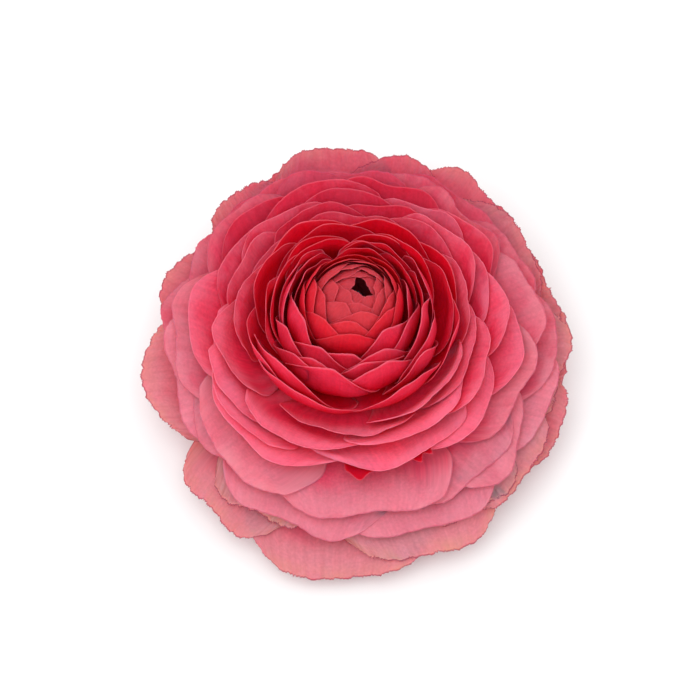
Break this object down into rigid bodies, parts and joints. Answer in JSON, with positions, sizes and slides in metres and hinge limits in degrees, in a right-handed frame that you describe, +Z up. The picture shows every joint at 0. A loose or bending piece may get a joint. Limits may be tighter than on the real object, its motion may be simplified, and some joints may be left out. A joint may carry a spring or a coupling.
{
  "type": "ranunculus flower",
  "caption": "Open, many-petalled flower head, face up: a closed bud inside rings of thin overlapping petals that open wider outwards, on a short cut stem with folded-back sepals.",
  "frame": {"origin": "On the surface it rests on, under the middle of the bloom's outline: the bottom centre of its box.", "axes": "+Z is up, out of the open face of the bloom. -Y is its front, where the outer petals droop lowest. +X is the right seen from the front."},
  "size_m": [0.0984, 0.1036, 0.0435],
  "materials": {
    "bud_petal": "soft satin petal, coral red",
    "cup_petal": "soft satin petal, deep crimson with a pale rim",
    "middle_petal": "soft satin petal, rose red",
    "outer_petal": "soft matt petal, mid pink with fine striations",
    "guard_petal": "soft matt petal, pale pink, tan-green and a thin dark line at the frilled margin",
    "green_stem": "fresh green plant tissue, matt, faintly ribbed",
    "dark_carpel": "near-black, bristly, slightly glossy"
  },
  "bodies": {
    "root": {"bud_petals": "bud_petal", "cup_petals": "cup_petal", "middle_petals": "middle_petal", "outer_petals": "outer_petal", "guard_petals": "guard_petal", "stem_and_sepals": "green_stem", "carpels": "dark_carpel"}
  },
  "joints": []
}
